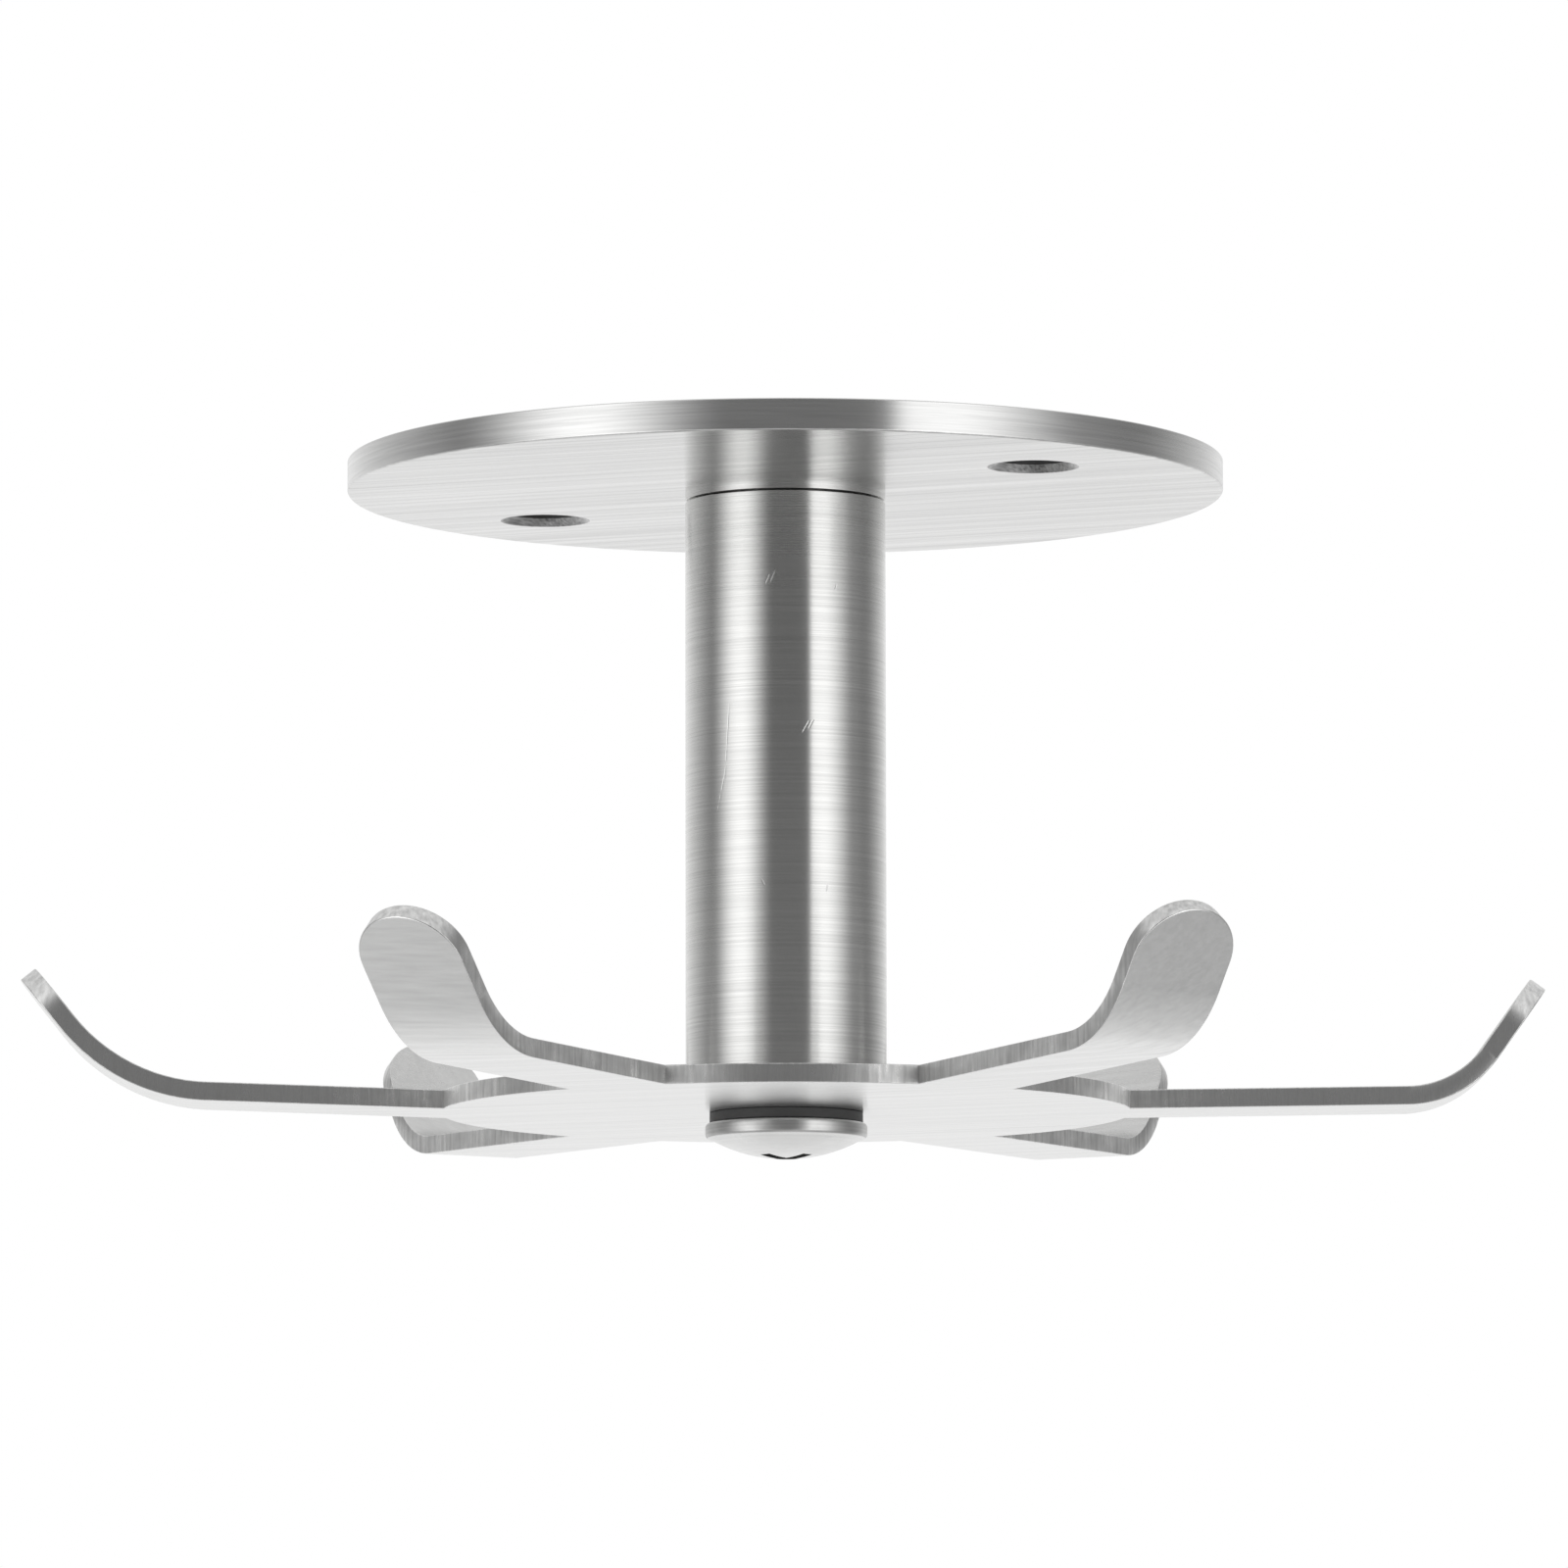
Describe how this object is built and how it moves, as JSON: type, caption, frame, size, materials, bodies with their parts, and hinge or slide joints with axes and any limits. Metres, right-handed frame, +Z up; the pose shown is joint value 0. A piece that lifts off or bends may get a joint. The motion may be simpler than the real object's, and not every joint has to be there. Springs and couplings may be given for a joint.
{
  "type": "swivel hook rack",
  "caption": "Ceiling-mounted swivel hook rack: a round plate holds a short tube post, and a flat rotor with upturned hook arms turns freely at its lower end.",
  "frame": {"origin": "centre of the mounting plate's top face, the face that lies against the ceiling, on the post's axis", "axes": "+Z up towards the ceiling along the post and the rotor's axis, +X along the pair of arms that points left and right, -Y towards the viewer"},
  "size_m": [0.1214, 0.1076, 0.0558],
  "materials": {
    "plate_steel": "straight-line brushed stainless steel",
    "tube_steel": "stainless steel, brushed round the tube",
    "rotor_steel": "straight-line brushed stainless steel with laser-cut edges",
    "screw_steel": "polished stainless steel",
    "machined_steel": "turned, zinc-grey",
    "white_nylon": "natural nylon",
    "dark_nylon": "black nylon"
  },
  "bodies": {
    "post_assembly": {"mounting_plate": "plate_steel", "plate_screw": "machined_steel", "top_spigot": "tube_steel", "post_tube": "tube_steel", "bottom_plug": "machined_steel", "thrust_washer": "white_nylon", "pivot_bush": "machined_steel", "lower_washer": "dark_nylon", "pivot_screw": "screw_steel"},
    "rotor": {"hook_rotor": "rotor_steel"}
  },
  "joints": [
    {"name": "rotor_spin", "type": "hinge", "parent": "post_assembly", "child": "rotor", "pos_m": [0, 0, -0.05145], "axis": [0, 0, 1], "continuous": true}
  ]
}
